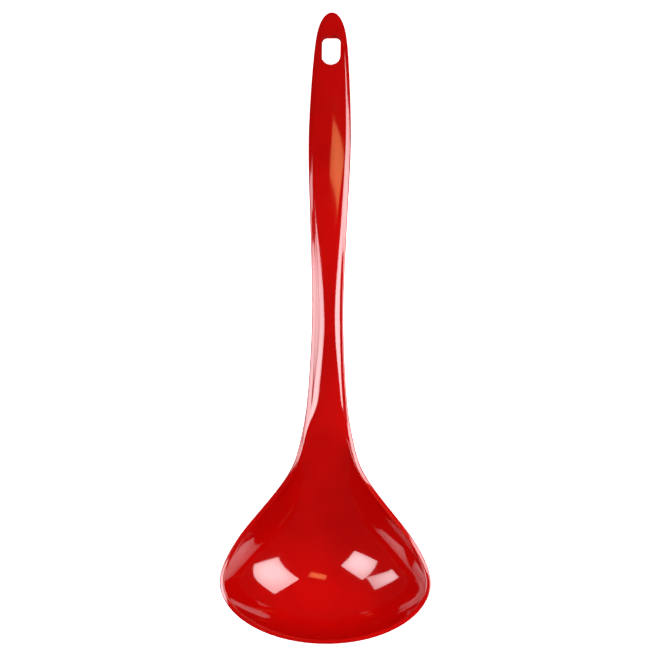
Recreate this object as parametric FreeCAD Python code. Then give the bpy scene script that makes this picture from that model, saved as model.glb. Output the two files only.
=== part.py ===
import FreeCAD, Part
import math
import os

# Soup ladle moulded in one piece, lying face up as it rests on a table.
# Millimetres. X runs across, Y from the lip of the bowl to the end of the handle, Z up.

Vector = FreeCAD.Vector

# Overall
half_length = 150.0
land_width = 2.1  # band round the whole edge, between the hollow or crown and the side
land_round = 0.6  # reach of the round between the land and the face inside it
edge_round = 0.5  # reach of the round between the land and the side
under_round = 0.7  # reach of the round between the side and the underside
side_draft = 0.15  # how far the side leans in towards the underside

# Bowl
floor_y = -109.5  # lowest point of the bowl
floor_thickness = 3.0
lip_height = 32.5
side_fullness = 0.85  # 0 gives straight sloping walls across the bowl, 1 gives upright ones at the rim

# Handle seen from the side, where the height along its middle is one long arch
arch_y = -40.0
arch_height = 24.25
arch_slope = 0.02  # rise at arch_y
arch_bend = 0.000684  # fall of the arch for each square millimetre of run
arch_stations = [-30.0, -10.0, 15.0, 40.0, 65.0, 90.0, 115.0, 135.0]
tip_height = 3.3

# Hanging slot
slot_start = 123.6
slot_end = 138.0
slot_width = 8.9
slot_corner = 2.6
slot_tilt = 20.0  # degrees; steeper than the handle there, so the far wall shows from above
slot_edge_round = 0.35
mouth_reach = 2.0  # the edges of the slot's two mouths lie within this distance of its ends
mouth_rise = 3.0  # and climb less than this, unlike the edges down its walls
mouth_slack = 0.1
eye_height = 5.7  # height of the middle of the plate at the slot

# Where the moulding is divided into its named regions
neck_start = -58.0
handle_start = -10.0
eye_start = 112.0
cut_reach = 80.0  # the dividing boxes reach past the moulding on every side

arc_angles = (90, 72, 54, 36, 18, 0, -14, -28)  # degrees from the lowest point towards the lip
station_count = 90
points_across = 17

# (y, half width) of the outline seen from above, after the elliptical front of the bowl
front_half_width = 49.9
front_centre_y = -121.0
outline_points = [
    (-109.0, 46.3),
    (-98.0, 39.5),
    (-87.0, 30.6),
    (-77.0, 22.6),
    (-67.0, 16.35),
    (-57.0, 13.1),
    (-44.0, 10.5),
    (-30.0, 9.0),
    (-12.0, 7.9),
    (8.0, 7.45),
    (30.0, 8.0),
    (60.0, 9.25),
    (85.0, 10.1),
    (105.0, 9.7),
    (122.0, 8.8),
    (134.0, 7.8),
    (142.0, 6.4),
    (147.0, 4.3),
    (150.0, 0.0),
]

# (y, height) of the inner edge of the land round the bowl
bowl_rim_points = [
    (-150.0, lip_height),
    (-120.0, 29.2),
    (-90.0, 25.8),
    (-60.0, 23.0),
    (-45.0, 22.9),
]

# (y, how far the middle of the handle stands above the inner edge of the land)
crown_points = [
    (-25.0, 1.25),
    (0.0, 1.5),
    (25.0, 1.2),
    (50.0, 0.85),
    (75.0, 0.6),
    (100.0, 0.45),
    (125.0, 0.25),
]

# (y, height) up the ramp from the bowl to the neck, along the middle
ramp_points = [
    (-78.0, 12.0),
    (-65.0, 17.6),
    (-58.0, 20.3),
    (-51.0, 22.5),
    (-43.0, 23.9),
]

# (y, thickness through the middle) behind the round front of the bowl
thickness_points = [
    (-150.0, floor_thickness),
    (floor_y, floor_thickness),
    (-92.0, 3.1),
    (-78.0, 3.6),
    (-65.0, 4.2),
    (-51.0, 5.3),
    (-30.0, 6.4),
    (0.0, 6.6),
    (50.0, 6.0),
    (100.0, 4.8),
    (150.0, 3.5),
]

# (y, how much lower the land is at the side than at its inner edge)
land_drop_points = [
    (-150.0, 0.5),
    (-110.0, 0.6),
    (-60.0, 0.8),
    (-20.0, 0.65),
    (20.0, 0.6),
    (50.0, 0.75),
    (80.0, 1.05),
    (110.0, 1.15),
    (150.0, 1.1),
]

# (y, drop from the inner edge of the land to the foot of the side)
side_points = [
    (-150.0, 1.9),
    (-110.0, 1.9),
    (-80.0, 2.0),
    (-60.0, 2.5),
    (-42.0, 3.4),
    (-20.0, 4.0),
    (20.0, 4.1),
    (70.0, 3.8),
    (110.0, 3.5),
    (150.0, 3.4),
]


def spline(points, parameters):
    curve = Part.BSplineCurve()
    curve.interpolate(Points=points, Parameters=parameters, Tolerance=1e-7)
    return curve


def handle_height(y):
    run = y - arch_y
    return arch_height + arch_slope * run - arch_bend * run * run


def profile(points):
    """Function of y through (y, value) points.

    It runs on the angle whose cosine goes from one end to the other, so a rounded end that meets the middle
    line squarely stays smooth up to its very point.
    """
    first, last = points[0][0], points[-1][0]

    def angle(y):
        along = (y - first) / (last - first)
        return math.acos(1 - 2 * min(1.0, max(0.0, along)))

    curve = spline([Vector(0, y, value) for y, value in points], [angle(y) for y, value in points])
    return lambda y: curve.value(angle(y)).z


def hollow(ratio):
    """Share of the full depth that a bowl has risen at this share of its half width."""
    full = 1 - math.sqrt(1 - side_fullness**2)
    return (1 - math.sqrt(1 - (side_fullness * ratio) ** 2)) / full


def arc(angles, reach, drop, top):
    """Points of the elliptical front wall and floor of the bowl, from above the floor at angle 0."""
    return [
        (floor_y - reach * math.sin(math.radians(a)), top - drop * math.cos(math.radians(a)))
        for a in angles
    ]


def outline_profile():
    """Half width of the outline along the ladle."""
    reach = half_length + front_centre_y
    front = [
        (front_centre_y - reach * math.cos(math.radians(a)), front_half_width * math.sin(math.radians(a)))
        for a in (0, 15, 30, 45, 60, 75, 90)
    ]
    return profile(front + outline_points)


def outline_rail(half_width):
    """Outline points of the right half from lip to handle end, each with its outward direction."""
    step = math.pi / station_count
    rail = []
    for station in range(station_count + 1):
        angle = step * station
        y = -half_length * math.cos(angle)
        if station in (0, station_count):
            rail.append((Vector(0, y, 0), Vector(0, math.copysign(1, y), 0)))
            continue
        small = step * 0.01
        before = -half_length * math.cos(angle - small)
        after = -half_length * math.cos(angle + small)
        run = Vector(half_width(after) - half_width(before), after - before, 0).normalize()
        rail.append((Vector(half_width(y), y, 0), Vector(run.y, -run.x, 0)))
    return rail


def at_height(point, height):
    return Vector(max(point.x, 0.0), point.y, height)


def reach_in(corner, outward, face, reach):
    """Point of the face that lies at this distance from its corner, straight in from the outline."""
    near, far = 0.0, reach
    for _ in range(50):
        middle = (near + far) / 2
        point = corner - outward * middle
        point = at_height(point, face(point.x, point.y))
        if (point - corner).Length < reach:
            near = middle
        else:
            far = middle
    return point


def rounded(start, corner, end):
    """Five lines of points that round off the corner line between two others."""
    lines = []
    for share in (0, 0.25, 0.5, 0.75, 1):
        lines.append(
            [
                a * (1 - share) ** 2 + b * 2 * share * (1 - share) + c * share**2
                for a, b, c in zip(start, corner, end)
            ]
        )
    return lines


def patch(rows):
    """Face through a grid of points with one row for each station.

    Two patches that share a line of points get the very same edge there.
    """
    across = [float(i) for i in range(len(rows[0]))]
    along = [float(i) for i in range(len(rows))]
    rib = spline(rows[len(rows) // 2], across)
    ribs = []
    for row in rows:
        meets = (row[0] - row[-1]).Length < 1e-6
        ribs.append([row[0]] * rib.NbPoles if meets else spline(row, across).getPoles())
    columns = [spline(list(poles), along) for poles in zip(*ribs)]
    surface = Part.BSplineSurface()
    surface.buildFromPolesMultsKnots(
        [list(poles) for poles in zip(*[column.getPoles() for column in columns])],
        columns[0].getMultiplicities(),
        rib.getMultiplicities(),
        columns[0].getKnots(),
        rib.getKnots(),
        False,
        False,
        columns[0].Degree,
        rib.Degree,
    )
    return surface.toShape()


def strips(lines):
    """The band through these lines of points, on the right side and on the left."""
    right = patch([list(row) for row in zip(*lines)])
    left = patch([[Vector(-p.x, p.y, p.z) for p in row] for row in zip(*lines)])
    return [right, left]


def spanning(edge, face):
    """Patch of a face that reaches from the left line of edge points to the right one."""
    rows = []
    for point in edge:
        shares = [-1 + 2 * i / (points_across - 1) for i in range(points_across)]
        rows.append([Vector(point.x * s, point.y, face(point.x * s, point.y)) for s in shares])
    rows[0] = [Vector(0, edge[0].y, edge[0].z)] * points_across
    rows[-1] = [Vector(0, edge[-1].y, edge[-1].z)] * points_across
    return patch(rows)


def moulding():
    """The whole ladle as one solid, without the hanging slot."""
    half_width = outline_profile()
    handle_rim = [(y, handle_height(y) - crown) for y, crown in crown_points]
    rim = profile(bowl_rim_points + handle_rim + [(half_length, tip_height)])
    middle_points = ramp_points + [(y, handle_height(y)) for y in arch_stations]
    side = profile(side_points)
    thickness = profile(thickness_points)
    land_drop = profile(land_drop_points)
    rail = outline_rail(half_width)
    outward = [direction for _, direction in rail]

    def on_land(point, direction, share):
        """Point of the sloping land at this share of the way from its inner edge to the side."""
        place = point - direction * land_width * (1 - share)
        return at_height(place, rim(place.y) - land_drop(point.y) * share)

    # Upper face: hollow in the bowl, level at the throat, crowned on the handle
    outline = [on_land(point, direction, 1) for point, direction in rail]
    corner = [on_land(point, direction, 0) for point, direction in rail]
    corner_width = profile([(point.y, point.x) for point in corner])
    inner_reach = floor_y - corner[0].y
    inner_drop = corner[0].z - floor_thickness
    front = arc(arc_angles, inner_reach, inner_drop, corner[0].z)
    middle = profile(front + middle_points + [(corner[-1].y, corner[-1].z)])

    def upper(x, y):
        width = corner_width(y)
        ratio = min(1.0, abs(x) / width) if width > 1e-6 else 1.0
        return middle(y) + (rim(y) - middle(y)) * hollow(ratio)

    # Underside: follows the bowl, then a shallow belly along the handle
    foot = [
        at_height(point - direction * side_draft, rim(point.y) - side(point.y))
        for point, direction in rail
    ]
    foot_width = profile([(point.y, point.x) for point in foot])
    foot_height = profile([(point.y, point.z) for point in foot])
    front = arc(arc_angles, floor_y - foot[0].y, foot[0].z, foot[0].z)
    back = [(y, height - thickness(y)) for y, height in middle_points]
    belly = profile(front + back + [(foot[-1].y, foot[-1].z)])

    def lower(x, y):
        width = foot_width(y)
        ratio = min(1.0, abs(x) / width) if width > 1e-6 else 1.0
        return belly(y) + (foot_height(y) - belly(y)) * hollow(ratio)

    inner = [reach_in(c, d, upper, land_round) for c, d in zip(corner, outward)]
    under = [reach_in(f, d, lower, under_round) for f, d in zip(foot, outward)]
    land_in = [on_land(point, direction, land_round / land_width) for point, direction in rail]
    land_out = [on_land(point, direction, 1 - edge_round / land_width) for point, direction in rail]
    side_top = [o + (f - o) * (edge_round / (f - o).Length) for o, f in zip(outline, foot)]
    side_low = [f + (o - f) * (under_round / (f - o).Length) for o, f in zip(outline, foot)]

    faces = [spanning(inner, upper), spanning(under, lower)]
    faces += strips(rounded(inner, corner, land_in))
    faces += strips([land_in, land_out])
    faces += strips(rounded(land_out, outline, side_top))
    faces += strips([side_top, side_low])
    faces += strips(rounded(side_low, foot, under))
    shell = Part.makeShell(faces)
    shell.sewShape()
    solid = Part.Solid(shell)
    if solid.Volume < 0:
        solid.reverse()
    return solid


def hanging_slot():
    """Cutter for the slot: a half round towards the bowl and a flatter end with rounded corners."""
    radius = slot_width / 2
    low = slot_start + radius
    high = slot_end - slot_corner
    flat = radius - slot_corner
    turn = slot_corner * math.sqrt(0.5)
    outline = [
        Part.Arc(Vector(-radius, low, 0), Vector(0, slot_start, 0), Vector(radius, low, 0)),
        Part.LineSegment(Vector(radius, low, 0), Vector(radius, high, 0)),
        Part.Arc(Vector(radius, high, 0), Vector(flat + turn, high + turn, 0), Vector(flat, slot_end, 0)),
        Part.LineSegment(Vector(flat, slot_end, 0), Vector(-flat, slot_end, 0)),
        Part.Arc(Vector(-flat, slot_end, 0), Vector(-flat - turn, high + turn, 0), Vector(-radius, high, 0)),
        Part.LineSegment(Vector(-radius, high, 0), Vector(-radius, low, 0)),
    ]
    wire = Part.Wire([piece.toShape() for piece in outline])
    cutter = Part.Face(wire).extrude(Vector(0, 0, 40))
    cutter.translate(Vector(0, 0, eye_height - 20))
    cutter.rotate(Vector(0, (slot_start + slot_end) / 2, eye_height), Vector(1, 0, 0), -slot_tilt)
    return cutter


def with_slot(solid):
    """The ladle with the hanging slot cut through it and the slot's edges rounded."""
    cut = solid.cut(hanging_slot()).Solids[0]
    mouth = [
        edge
        for edge in cut.Edges
        if edge.BoundBox.YMin > slot_start - mouth_reach
        and edge.BoundBox.YMax < slot_end + mouth_reach
        and edge.BoundBox.XLength < slot_width + mouth_slack
        and edge.BoundBox.ZLength < mouth_rise
        and abs(edge.CenterOfMass.x) < slot_width / 2 + mouth_slack
    ]
    return cut.makeFillet(slot_edge_round, mouth)


def region(solid, start, end):
    """The part of the ladle between two cuts square to its length."""
    box = Part.makeBox(2 * cut_reach, end - start, cut_reach, Vector(-cut_reach, start, -cut_reach / 4))
    return solid.common(box)


def main():
    ladle = with_slot(moulding())
    cuts = {
        "bowl": (-half_length - 5, neck_start),
        "neck": (neck_start, handle_start),
        "handle": (handle_start, eye_start),
        "hanging_eye": (eye_start, half_length + 5),
    }
    os.makedirs("parts", exist_ok=True)
    for name, (start, end) in cuts.items():
        shape = region(ladle, start, end)
        shape.exportStep("parts/" + name + ".step")
        print(name, shape.ShapeType, len(shape.Solids), shape.isValid(), round(shape.Volume), shape.BoundBox)


main()
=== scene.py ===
import bpy
import bmesh
import math
import numpy as np
from mathutils import Matrix, Vector


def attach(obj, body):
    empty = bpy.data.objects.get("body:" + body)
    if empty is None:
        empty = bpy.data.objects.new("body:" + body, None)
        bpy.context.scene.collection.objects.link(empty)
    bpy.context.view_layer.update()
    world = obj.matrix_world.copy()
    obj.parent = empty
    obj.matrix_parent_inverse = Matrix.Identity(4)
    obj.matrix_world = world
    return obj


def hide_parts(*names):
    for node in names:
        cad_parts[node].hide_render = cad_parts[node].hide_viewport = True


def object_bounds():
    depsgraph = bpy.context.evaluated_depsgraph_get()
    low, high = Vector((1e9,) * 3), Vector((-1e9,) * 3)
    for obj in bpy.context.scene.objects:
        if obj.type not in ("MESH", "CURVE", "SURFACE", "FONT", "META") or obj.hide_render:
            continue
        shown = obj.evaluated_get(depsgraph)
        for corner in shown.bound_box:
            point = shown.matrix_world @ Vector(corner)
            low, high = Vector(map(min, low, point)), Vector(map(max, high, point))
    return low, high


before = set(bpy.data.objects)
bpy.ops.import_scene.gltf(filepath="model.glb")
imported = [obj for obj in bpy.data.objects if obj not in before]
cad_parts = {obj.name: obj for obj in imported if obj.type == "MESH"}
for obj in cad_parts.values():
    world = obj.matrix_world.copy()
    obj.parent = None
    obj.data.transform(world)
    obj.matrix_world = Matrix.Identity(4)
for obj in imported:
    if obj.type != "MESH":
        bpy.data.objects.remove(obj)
cadLow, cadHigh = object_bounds()

mm = 0.001

ladle = {
    "landWidth": 2.1,
    "landDrop": [  # y, fall of the land towards the side
        (-150.0, 0.5), (-110.0, 0.6), (-60.0, 0.8), (-20.0, 0.65), (20.0, 0.6), (50.0, 0.75),
        (80.0, 1.05), (110.0, 1.15), (150.0, 1.1),
    ],
    "landRound": 0.6,
    "edgeRound": 0.5,
    "underRound": 0.7,
    "sideDraft": 0.15,
    "floorY": -109.5,
    "floorThickness": 3.0,
    "lipHeight": 32.5,
    "sideFullness": 0.85,
    "frontHalfWidth": 49.9,
    "frontCentreY": -121.0,
    "stations": 300,
    "across": 64,
    "bunching": 0.86,  # how far the points across crowd towards the edges
    "weld": 2e-6,
    "stretch": 0.035,  # the very tips are rounded off, so the lines run this much further
    "outline": [  # y, half width behind the round front
        (-109.0, 46.3), (-98.0, 39.5), (-87.0, 30.6), (-77.0, 22.6), (-67.0, 16.35), (-57.0, 13.1),
        (-44.0, 10.5), (-30.0, 9.0), (-12.0, 7.9), (8.0, 7.45), (30.0, 8.0), (60.0, 9.25), (85.0, 10.1),
        (105.0, 9.7), (122.0, 8.8), (134.0, 7.8), (142.0, 6.4), (147.0, 4.3), (150.0, 0.0),
    ],
    "bowlRim": [  # y, height of the inner edge of the land
        (-150.0, 32.5), (-120.0, 29.2), (-90.0, 25.8), (-60.0, 23.0), (-45.0, 22.9),
    ],
    "crown": [  # y, middle of the handle above its edge
        (-25.0, 1.25), (0.0, 1.5), (25.0, 1.2), (50.0, 0.85), (75.0, 0.6), (100.0, 0.45), (125.0, 0.25),
    ],
    "ramp": [  # y, height along the middle
        (-78.0, 12.0), (-65.0, 17.6), (-58.0, 20.3), (-51.0, 22.5), (-43.0, 23.9),
    ],
    "archY": -40.0,
    "archHeight": 24.25,
    "archSlope": 0.02,
    "archBend": 0.000684,
    "archStations": [-30.0, -10.0, 15.0, 40.0, 65.0, 90.0, 115.0, 135.0],
    "tipHeight": 3.3,
    "thickness": [
        (-150.0, 3.0), (-109.5, 3.0), (-92.0, 3.1), (-78.0, 3.6), (-65.0, 4.2), (-51.0, 5.3), (-30.0, 6.4),
        (0.0, 6.6), (50.0, 6.0), (100.0, 4.8), (150.0, 3.5),
    ],
    "side": [  # y, height of the side under the land
        (-150.0, 1.9), (-110.0, 1.9), (-80.0, 2.0), (-60.0, 2.5), (-42.0, 3.4), (-20.0, 4.0), (20.0, 4.1),
        (70.0, 3.8), (110.0, 3.5), (150.0, 3.4),
    ],
}
halfLength = (cadHigh[1] - cadLow[1]) / 2 / mm + ladle["stretch"]


def cubicThrough(knots, values):
    # cubic through the points, with its end slopes from the four points at each end, as in the CAD
    x, y = np.array(knots, float), np.array(values, float)
    n, h = len(x), np.diff(x)
    a, b = np.zeros((n, n)), np.zeros(n)
    for i in range(1, n - 1):
        a[i, i - 1 : i + 2] = h[i - 1], 2 * (h[i - 1] + h[i]), h[i]
        b[i] = 6 * ((y[i + 1] - y[i]) / h[i] - (y[i] - y[i - 1]) / h[i - 1])
    startSlope = np.polyval(np.polyder(np.polyfit(x[:4], y[:4], 3)), x[0])
    endSlope = np.polyval(np.polyder(np.polyfit(x[-4:], y[-4:], 3)), x[-1])
    a[0, :2], b[0] = (2 * h[0], h[0]), 6 * ((y[1] - y[0]) / h[0] - startSlope)
    a[-1, -2:], b[-1] = (h[-1], 2 * h[-1]), 6 * (endSlope - (y[-1] - y[-2]) / h[-1])
    m = np.linalg.solve(a, b)

    def value(at):
        i = np.clip(np.searchsorted(x, at) - 1, 0, n - 2)
        left, right, gap = x[i + 1] - at, at - x[i], h[i]
        return (
            (m[i] * left**3 + m[i + 1] * right**3) / (6 * gap)
            + (y[i] / gap - m[i] * gap / 6) * left
            + (y[i + 1] / gap - m[i + 1] * gap / 6) * right
        )

    return value


def profile(points):
    # runs on an angle, so a rounded end stays smooth up to its point
    first, last = points[0][0], points[-1][0]

    def angle(y):
        return np.arccos(1 - 2 * np.clip((y - first) / (last - first), 0, 1))

    curve = cubicThrough([angle(y) for y, _ in points], [value for _, value in points])
    return lambda y: curve(angle(y))


def handleHeight(y):
    run = y - ladle["archY"]
    return ladle["archHeight"] + ladle["archSlope"] * run - ladle["archBend"] * run * run


def hollow(ratio):
    k = ladle["sideFullness"]
    return (1 - np.sqrt(1 - (k * ratio) ** 2)) / (1 - math.sqrt(1 - k * k))


def frontArc(reach, drop, top):
    return [
        (ladle["floorY"] - reach * math.sin(math.radians(a)), top - drop * math.cos(math.radians(a)))
        for a in (90, 72, 54, 36, 18, 0, -14, -28)
    ]


def raised(xy, heights):
    return np.column_stack([np.maximum(xy[:, 0], 0), xy[:, 1], heights])


def reachIn(corner, outward, face, reach):
    near, far = np.zeros(len(corner)), np.full(len(corner), reach)
    for _ in range(45):
        middle = (near + far) / 2
        xy = corner[:, :2] - outward * middle[:, None]
        point = raised(xy, face(np.maximum(xy[:, 0], 0), xy[:, 1]))
        short = np.linalg.norm(point - corner, axis=1) < reach
        near, far = np.where(short, middle, near), np.where(short, far, middle)
    return point


def roundOff(start, corner, end, steps):
    shares = np.linspace(0, 1, steps)
    return [start * (1 - s) ** 2 + corner * 2 * s * (1 - s) + end * s * s for s in shares]


def ladleLines():
    front = [
        (
            ladle["frontCentreY"] - (halfLength + ladle["frontCentreY"]) * math.cos(math.radians(a)),
            ladle["frontHalfWidth"] * math.sin(math.radians(a)),
        )
        for a in (0, 15, 30, 45, 60, 75, 90)
    ]
    halfWidth = profile(front + ladle["outline"])
    handleRim = [(y, handleHeight(y) - crown) for y, crown in ladle["crown"]]
    rim = profile(ladle["bowlRim"] + handleRim + [(150.0, ladle["tipHeight"])])
    middlePoints = ladle["ramp"] + [(y, handleHeight(y)) for y in ladle["archStations"]]
    side, thickness = profile(ladle["side"]), profile(ladle["thickness"])
    landDrop = profile(ladle["landDrop"])
    angles = np.linspace(0, math.pi, ladle["stations"] + 1)
    small = 1e-4
    y = -halfLength * np.cos(angles)
    xy = np.column_stack([halfWidth(y), y])
    xy[[0, -1], 0] = 0
    before, after = -halfLength * np.cos(angles - small), -halfLength * np.cos(angles + small)
    run = np.column_stack([halfWidth(after) - halfWidth(before), after - before])
    outward = np.column_stack([run[:, 1], -run[:, 0]])
    outward[0], outward[-1] = (0, -1), (0, 1)
    outward /= np.linalg.norm(outward, axis=1)[:, None]

    def onLand(share):
        place = xy - outward * ladle["landWidth"] * (1 - share)
        return raised(place, rim(place[:, 1]) - landDrop(y) * share)

    outline = onLand(1)
    corner = onLand(0)
    cornerWidth = profile([(p[1], p[0]) for p in corner])
    reach, top = ladle["floorY"] - corner[0, 1], corner[0, 2]
    front = frontArc(reach, top - ladle["floorThickness"], top)
    middle = profile(front + middlePoints + [(corner[-1, 1], corner[-1, 2])])

    def upper(x, y):
        ratio = np.clip(np.abs(x) / np.maximum(cornerWidth(y), 1e-6), 0, 1)
        return middle(y) + (rim(y) - middle(y)) * hollow(ratio)

    foot = xy - outward * ladle["sideDraft"]
    foot = raised(foot, rim(y) - side(y))
    footWidth = profile([(p[1], p[0]) for p in foot])
    footHeight = profile([(p[1], p[2]) for p in foot])
    front = frontArc(ladle["floorY"] - foot[0, 1], foot[0, 2], foot[0, 2])
    back = [(at, height - float(thickness(at))) for at, height in middlePoints]
    belly = profile(front + back + [(foot[-1, 1], foot[-1, 2])])

    def lower(x, y):
        ratio = np.clip(np.abs(x) / np.maximum(footWidth(y), 1e-6), 0, 1)
        return belly(y) + (footHeight(y) - belly(y)) * hollow(ratio)

    inner = reachIn(corner, outward, upper, ladle["landRound"])
    under = reachIn(foot, outward, lower, ladle["underRound"])
    landIn = onLand(ladle["landRound"] / ladle["landWidth"])
    landOut = onLand(1 - ladle["edgeRound"] / ladle["landWidth"])
    down = foot - outline
    down /= np.linalg.norm(down, axis=1)[:, None]
    sideTop = outline + down * ladle["edgeRound"]
    sideLow = foot - down * ladle["underRound"]
    lines = roundOff(inner, corner, landIn, 6)
    lines += [landIn * (1 - s) + landOut * s for s in (1 / 3, 2 / 3)]
    lines += roundOff(landOut, outline, sideTop, 6)
    lines += [(sideTop + sideLow) / 2]
    lines += roundOff(sideLow, foot, under, 6)
    return lines, upper, lower


def skinMesh():
    lines, upper, lower = ladleLines()
    bm = bmesh.new()
    count, across = ladle["stations"] + 1, ladle["across"]

    def spanning(edge, face, flip):
        turn = math.pi / 2 * ladle["bunching"]
        shares = np.sin(np.linspace(-turn, turn, across + 1)) / math.sin(turn)
        rows = []
        for i, p in enumerate(edge):
            if i in (0, count - 1):
                rows.append([bm.verts.new(p * mm)] * (across + 1))
            else:
                x = p[0] * shares
                z = face(x, np.full(len(x), p[1]))
                rows.append([bm.verts.new((a * mm, p[1] * mm, b * mm)) for a, b in zip(x, z)])
        join(rows, flip)

    def join(rows, flip):
        for low, high in zip(rows, rows[1:]):
            for k in range(len(low) - 1):
                ring = [low[k], low[k + 1], high[k + 1], high[k]]
                ring = [v for j, v in enumerate(ring) if v is not ring[j - 1]]
                if len(ring) > 2:
                    bm.faces.new(ring[::-1] if flip else ring)

    spanning(lines[0], upper, False)
    spanning(lines[-1], lower, True)
    for sign in (1, -1):
        side = np.array([sign, 1, 1]) * mm
        rows = [[bm.verts.new(line[i] * side) for line in lines] for i in range(count)]
        join(rows, sign < 0)
    bmesh.ops.remove_doubles(bm, verts=bm.verts, dist=ladle["weld"])
    bmesh.ops.recalc_face_normals(bm, faces=bm.faces)
    mesh = bpy.data.meshes.new("ladleMoulding")
    bm.to_mesh(mesh)
    bm.free()
    return mesh


slot = {
    "start": 123.6,
    "end": 138.0,
    "width": 8.9,
    "corner": 2.6,
    "tilt": 20.0,
    "height": 5.7,
    "cutDepth": 30.0,
    "roundSteps": 14,
    "creaseAngle": 40,  # edges steeper than this are shaded sharp, above all the slot's own
    "nearRoundShare": 0.999,  # just short of a full half round, so the two corners stay apart
    "weld": 1e-6,
}


def slotTree():
    # cuts the slot: a filleted quadrilateral, filled, drawn out and turned
    tree = bpy.data.node_groups.new("hangingSlot", "GeometryNodeTree")
    sockets = tree.interface
    sockets.new_socket("Geometry", in_out="INPUT", socket_type="NodeSocketGeometry")
    for name in ("Width", "Length", "Near Radius", "Far Radius", "Depth", "Tilt", "Middle", "Height"):
        sockets.new_socket(name, in_out="INPUT", socket_type="NodeSocketFloat")
    sockets.new_socket("Finish", in_out="INPUT", socket_type="NodeSocketMaterial")
    sockets.new_socket("Geometry", in_out="OUTPUT", socket_type="NodeSocketGeometry")
    node, link = tree.nodes.new, tree.links.new
    given = node("NodeGroupInput").outputs
    mouth = node("GeometryNodeCurvePrimitiveQuadrilateral")
    link(given["Width"], mouth.inputs["Width"])
    link(given["Length"], mouth.inputs["Height"])
    place, axes = node("GeometryNodeInputPosition"), node("ShaderNodeSeparateXYZ")
    link(place.outputs["Position"], axes.inputs["Vector"])
    farEnd, radius = node("FunctionNodeCompare"), node("GeometryNodeSwitch")
    farEnd.operation = "GREATER_THAN"
    radius.input_type = "FLOAT"
    link(axes.outputs["Y"], farEnd.inputs["A"])
    link(farEnd.outputs["Result"], radius.inputs["Switch"])
    link(given["Near Radius"], radius.inputs["False"])
    link(given["Far Radius"], radius.inputs["True"])
    corners = node("GeometryNodeFilletCurve")
    if "Mode" in corners.inputs:
        corners.inputs["Mode"].default_value = "Poly"
    else:
        corners.mode = "POLY"
    corners.inputs["Count"].default_value = slot["roundSteps"]
    link(mouth.outputs["Curve"], corners.inputs["Curve"])
    link(radius.outputs["Output"], corners.inputs["Radius"])
    fill, draw = node("GeometryNodeFillCurve"), node("GeometryNodeExtrudeMesh")
    if "Mode" in fill.inputs:
        fill.inputs["Mode"].default_value = "N-gons"
    else:
        fill.mode = "NGONS"
    draw.inputs["Individual"].default_value = False
    link(corners.outputs["Curve"], fill.inputs["Curve"])
    link(fill.outputs["Mesh"], draw.inputs["Mesh"])
    link(given["Depth"], draw.inputs["Offset Scale"])
    other, closed = node("GeometryNodeFlipFaces"), node("GeometryNodeJoinGeometry")
    weld = node("GeometryNodeMergeByDistance")
    link(fill.outputs["Mesh"], other.inputs["Mesh"])
    link(other.outputs["Mesh"], closed.inputs["Geometry"])
    link(draw.outputs["Mesh"], closed.inputs["Geometry"])
    weld.inputs["Distance"].default_value = slot["weld"]
    link(closed.outputs["Geometry"], weld.inputs["Geometry"])
    centred, turned = node("GeometryNodeTransform"), node("GeometryNodeTransform")
    half, down = node("ShaderNodeMath"), node("ShaderNodeCombineXYZ")
    half.operation = "MULTIPLY"
    half.inputs[1].default_value = -0.5
    link(given["Depth"], half.inputs[0])
    link(half.outputs["Value"], down.inputs["Z"])
    link(weld.outputs["Geometry"], centred.inputs["Geometry"])
    link(down.outputs["Vector"], centred.inputs["Translation"])
    lean, spot = node("ShaderNodeCombineXYZ"), node("ShaderNodeCombineXYZ")
    link(given["Tilt"], lean.inputs["X"])
    link(given["Middle"], spot.inputs["Y"])
    link(given["Height"], spot.inputs["Z"])
    link(centred.outputs["Geometry"], turned.inputs["Geometry"])
    link(lean.outputs["Vector"], turned.inputs["Rotation"])
    link(spot.outputs["Vector"], turned.inputs["Translation"])
    cut = node("GeometryNodeMeshBoolean")
    cut.operation = "DIFFERENCE"
    cut.solver = "EXACT"
    link(given["Geometry"], cut.inputs["Mesh 1"])
    link(turned.outputs["Geometry"], cut.inputs["Mesh 2"])
    real, finish = node("GeometryNodeRealizeInstances"), node("GeometryNodeSetMaterial")
    result = node("NodeGroupOutput")
    link(cut.outputs["Mesh"], real.inputs["Geometry"])
    link(real.outputs["Geometry"], finish.inputs["Geometry"])
    link(given["Finish"], finish.inputs["Material"])
    link(finish.outputs["Geometry"], result.inputs["Geometry"])
    return tree


def cutSlot(piece, material):
    cut = piece.modifiers.new("hangingSlot", "NODES")
    cut.node_group = slotTree()
    sizes = {
        "Width": slot["width"] * mm,
        "Length": (slot["end"] - slot["start"]) * mm,
        "Near Radius": slot["width"] / 2 * mm * slot["nearRoundShare"],
        "Far Radius": slot["corner"] * mm,
        "Depth": slot["cutDepth"] * mm,
        "Tilt": math.radians(-slot["tilt"]),
        "Middle": (slot["start"] + slot["end"]) / 2 * mm,
        "Height": slot["height"] * mm,
        "Finish": material,
    }
    for item in cut.node_group.interface.items_tree:
        if item.in_out == "INPUT" and item.name in sizes:
            cut[item.identifier] = sizes[item.name]
    graph = bpy.context.evaluated_depsgraph_get()
    mesh = bpy.data.meshes.new_from_object(piece.evaluated_get(graph))
    mesh.materials.clear()  # the cut leaves an empty slot in front of the red one
    mesh.materials.append(material)
    mesh.polygons.foreach_set("material_index", [0] * len(mesh.polygons))
    piece.modifiers.clear()
    piece.data = mesh


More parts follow.
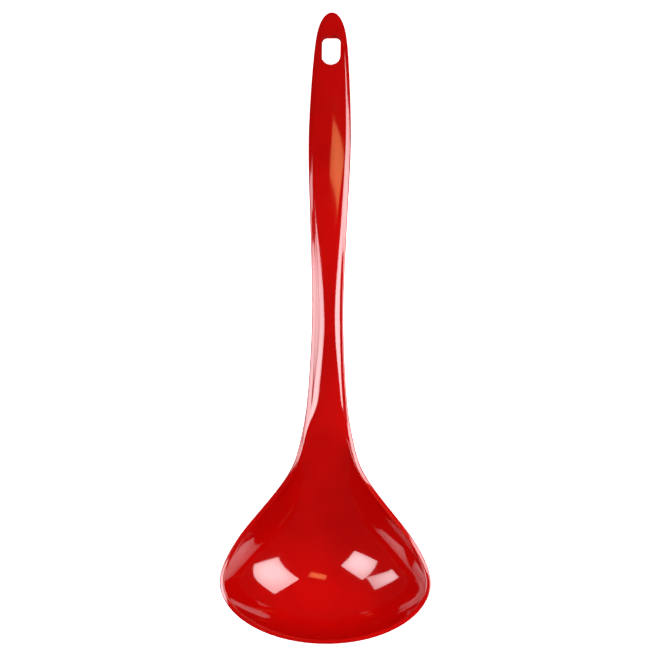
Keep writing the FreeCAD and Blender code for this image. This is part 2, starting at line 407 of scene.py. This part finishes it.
melamine = {
    "deep": (0.40, 0.0006, 0.0004, 1),
    "bright": (0.50, 0.0012, 0.0007, 1),
    "worn": (0.46, 0.012, 0.009, 1),
    "cloud": 26.0,
    "gloss": (0.035, 0.09),
    "peel": 700.0,
    "peelDepth": 0.035,
    "scratchDepth": 0.05,
    "ior": 1.58,
    "coat": 0.35,
    "coatGloss": 0.02,
    "coatIor": 1.6,
    "bumpDistance": 0.00002,
    "scratchRoughness": 0.12,
}


def redMelamine():
    # solid red, glossy as moulded, with a clouded colour, faint orange peel and use scratches
    material = bpy.data.materials.new("redMelamine")
    material.use_nodes = True
    tree = material.node_tree
    node, link = tree.nodes.new, tree.links.new
    shader = tree.nodes["Principled BSDF"]
    coords = node("ShaderNodeTexCoord").outputs["Object"]

    def noise(scale, detail, vector=coords):
        cloud = node("ShaderNodeTexNoise")
        cloud.inputs["Scale"].default_value = scale
        cloud.inputs["Detail"].default_value = detail
        link(vector, cloud.inputs["Vector"])
        return cloud.outputs["Fac"]

    def spread(value, low, high, start=0.0, end=1.0):
        ranged = node("ShaderNodeMapRange")
        ranged.inputs["From Min"].default_value, ranged.inputs["From Max"].default_value = low, high
        ranged.inputs["To Min"].default_value, ranged.inputs["To Max"].default_value = start, end
        link(value, ranged.inputs["Value"])
        return ranged.outputs["Result"]

    def blend(amount, first, second):
        mix = node("ShaderNodeMix")
        mix.data_type = "RGBA"
        link(amount, mix.inputs["Factor"])
        for value, place in ((first, 6), (second, 7)):
            if isinstance(value, tuple):
                mix.inputs[place].default_value = value
            else:
                link(value, mix.inputs[place])
        return mix.outputs[2]

    def reckon(operation, first, second):
        worked = node("ShaderNodeMath")
        worked.operation = operation
        for value, place in ((first, 0), (second, 1)):
            if isinstance(value, float):
                worked.inputs[place].default_value = value
            else:
                link(value, worked.inputs[place])
        return worked.outputs["Value"]

    def scratches(turn, seedShift):
        # fine lines: noise drawn out along one direction, kept where it crosses its middle
        lay = node("ShaderNodeMapping")
        lay.inputs["Rotation"].default_value = (0, 0, math.radians(turn))
        lay.inputs["Location"].default_value = (seedShift, seedShift, 0)
        lay.inputs["Scale"].default_value = (900, 14, 60)
        link(coords, lay.inputs["Vector"])
        return spread(noise(1.0, 2.0, lay.outputs["Vector"]), 0.70, 0.76)

    clouds = spread(noise(melamine["cloud"], 3.0), 0.35, 0.65)
    colour = blend(clouds, melamine["deep"], melamine["bright"])
    edges = spread(node("ShaderNodeNewGeometry").outputs["Pointiness"], 0.53, 0.60)
    rubbed = reckon("MULTIPLY", edges, spread(noise(180.0, 4.0), 0.45, 0.7, 0.0, 0.5))
    link(blend(rubbed, colour, melamine["worn"]), shader.inputs["Base Color"])
    marks = reckon("MAXIMUM", scratches(35, 0.0), scratches(-62, 7.3))
    patches = spread(noise(45.0, 2.0), 0.45, 0.7)
    marks = reckon("MULTIPLY", marks, patches)
    smooth, rough = melamine["gloss"]
    sheen = spread(noise(60.0, 4.0), 0.3, 0.7, smooth, rough)
    dulled = reckon("MULTIPLY", marks, melamine["scratchRoughness"])
    link(reckon("ADD", sheen, dulled), shader.inputs["Roughness"])
    peel, scored = node("ShaderNodeBump"), node("ShaderNodeBump")
    peel.inputs["Distance"].default_value = melamine["bumpDistance"]
    peel.inputs["Strength"].default_value = melamine["peelDepth"]
    scored.inputs["Distance"].default_value = melamine["bumpDistance"]
    scored.inputs["Strength"].default_value = melamine["scratchDepth"]
    scored.invert = True
    link(noise(melamine["peel"], 2.0), peel.inputs["Height"])
    link(marks, scored.inputs["Height"])
    link(peel.outputs["Normal"], scored.inputs["Normal"])
    link(scored.outputs["Normal"], shader.inputs["Normal"])
    shader.inputs["IOR"].default_value = melamine["ior"]
    shader.inputs["Coat Weight"].default_value = melamine["coat"]
    shader.inputs["Coat Roughness"].default_value = melamine["coatGloss"]
    shader.inputs["Coat IOR"].default_value = melamine["coatIor"]
    return material


moulding = bpy.data.objects.new("ladle_moulding", skinMesh())
bpy.context.collection.objects.link(moulding)
uncut = len(moulding.data.polygons)
cutSlot(moulding, redMelamine())
print("slot:", uncut, "faces before the cut,", len(moulding.data.polygons), "after")
for face in moulding.data.polygons:
    face.use_smooth = True
moulding.data.set_sharp_from_angle(angle=math.radians(slot["creaseAngle"]))
print("moulding:", len(moulding.data.polygons), "faces")

studio = {
    "floorSize": 4.0,
    "cameraDistance": 1.6,
    "frameWidth": 0.308,
    "lean": 3.0,
    "roll": 0.4,
    "aim": (-0.0013, 0.0001, 0.02),
    "sensorWidth": 36,
    "ambience": 0.03,
}
floorMesh = bpy.data.meshes.new("floor")
reach = studio["floorSize"] / 2
floorCorners = [(-reach, -reach, 0), (reach, -reach, 0), (reach, reach, 0), (-reach, reach, 0)]
floorMesh.from_pydata(floorCorners, [], [(0, 1, 2, 3)])
floor = bpy.data.objects.new("floor", floorMesh)
bpy.context.collection.objects.link(floor)
white = bpy.data.materials.new("floorPaper")
white.use_nodes = True
paper = {
    "Base Color": (0.92, 0.92, 0.92, 1),
    "Roughness": 1.0,
    "Specular IOR Level": 0.0,
    "Emission Color": (1, 1, 1, 1),
    "Emission Strength": 0.8,
}
for name, value in paper.items():
    white.node_tree.nodes["Principled BSDF"].inputs[name].default_value = value
floorMesh.materials.append(white)
floor.visible_glossy = False  # the gloss mirrors the dark room, not the paper

cameraData = bpy.data.cameras.new("camera")
camera = bpy.data.objects.new("camera", cameraData)
bpy.context.collection.objects.link(camera)
bpy.context.scene.camera = camera
cameraData.sensor_width = studio["sensorWidth"]
cameraData.lens = studio["sensorWidth"] * studio["cameraDistance"] / studio["frameWidth"]
cameraData.clip_start, cameraData.clip_end = 0.05, 20
lean, roll = math.radians(studio["lean"]), math.radians(studio["roll"])
aim = Vector(studio["aim"])
camera.matrix_world = (
    Matrix.Translation(aim)
    @ Matrix.Rotation(lean, 4, "Y")
    @ Matrix.Rotation(roll, 4, "Z")
    @ Matrix.Translation((0, 0, studio["cameraDistance"]))
)

# heading is the way a lamp faces, in degrees round from +X, and tip is how far it leans down
lamps = {
    "softboxRight": {
        "at": (1.3, 0.0, 1.1), "heading": -135, "tip": 0, "size": (1.7, 1.1),
        "colour": (1.0, 0.97, 0.98), "glow": 8.0, "mirrored": True,
    },
    "softboxLeft": {
        "at": (-0.85, -0.1, 1.3), "heading": -45, "tip": 15, "size": (0.85, 0.85),
        "colour": (0.98, 0.97, 1.0), "glow": 8.0, "mirrored": True,
    },
    "softboxLeftLow": {
        "at": (-0.85, 0.0, 0.45), "heading": -70, "tip": 60, "size": (0.9, 0.22),
        "colour": (0.98, 0.97, 1.0), "glow": 6.0, "mirrored": True,
    },
    "warmCard": {
        "at": (0.5, 1.6, 4.7), "heading": -107, "tip": 70, "size": (1.35, 0.5),
        "colour": (1.0, 0.45, 0.16), "glow": 3.7, "mirrored": True,
    },
    "roomFill": {
        "at": (0.0, -0.7, 2.3), "heading": 90, "tip": 72, "size": (1.6, 1.6),
        "colour": (1.0, 0.98, 0.97), "glow": 1.0, "mirrored": False,
    },
}


softness = {"edge": 0.72, "middle": 1.15, "fall": 0.05}


def softEdges(data):
    # a cloth-fronted box is brightest in the middle
    data.use_nodes = True
    tree = data.node_tree
    node, link = tree.nodes.new, tree.links.new
    axes = node("ShaderNodeSeparateXYZ")
    link(node("ShaderNodeNewGeometry").outputs["Parametric"], axes.inputs["Vector"])
    falls = []
    for axis in ("X", "Y"):
        away, hump = node("ShaderNodeMath"), node("ShaderNodeMath")
        away.operation, hump.operation = "SUBTRACT", "MULTIPLY"
        away.inputs[0].default_value = 1.0
        link(axes.outputs[axis], away.inputs[1])
        link(axes.outputs[axis], hump.inputs[0])
        link(away.outputs["Value"], hump.inputs[1])
        falls.append(hump.outputs["Value"])
    both, level = node("ShaderNodeMath"), node("ShaderNodeMapRange")
    both.operation = "MULTIPLY"
    link(falls[0], both.inputs[0])
    link(falls[1], both.inputs[1])
    level.inputs["From Max"].default_value = softness["fall"]
    level.inputs["To Min"].default_value = softness["edge"]
    level.inputs["To Max"].default_value = softness["middle"]
    link(both.outputs["Value"], level.inputs["Value"])
    link(level.outputs["Result"], tree.nodes["Emission"].inputs["Strength"])


for name, lamp in lamps.items():
    data = bpy.data.lights.new(name, "AREA")
    data.shape = "RECTANGLE"
    data.size, data.size_y = lamp["size"]
    data.color = lamp["colour"]
    data.energy = lamp["glow"] * math.pi * data.size * data.size_y
    softEdges(data)
    light = bpy.data.objects.new(name, data)
    bpy.context.collection.objects.link(light)
    light.visible_glossy = lamp["mirrored"]
    light.location = lamp["at"]
    light.rotation_euler = (math.radians(90 - lamp["tip"]), 0, math.radians(lamp["heading"] - 90))
print("studio:", len(lamps), "lamps")

world = bpy.data.worlds.new("studio")
bpy.context.scene.world = world
world.use_nodes = True
world.node_tree.nodes["Background"].inputs["Color"].default_value = (1, 1, 1, 1)
world.node_tree.nodes["Background"].inputs["Strength"].default_value = studio["ambience"]
bpy.context.scene.view_settings.view_transform = "Standard"

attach(moulding, "root")
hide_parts("bowl", "neck", "handle", "hanging_eye")
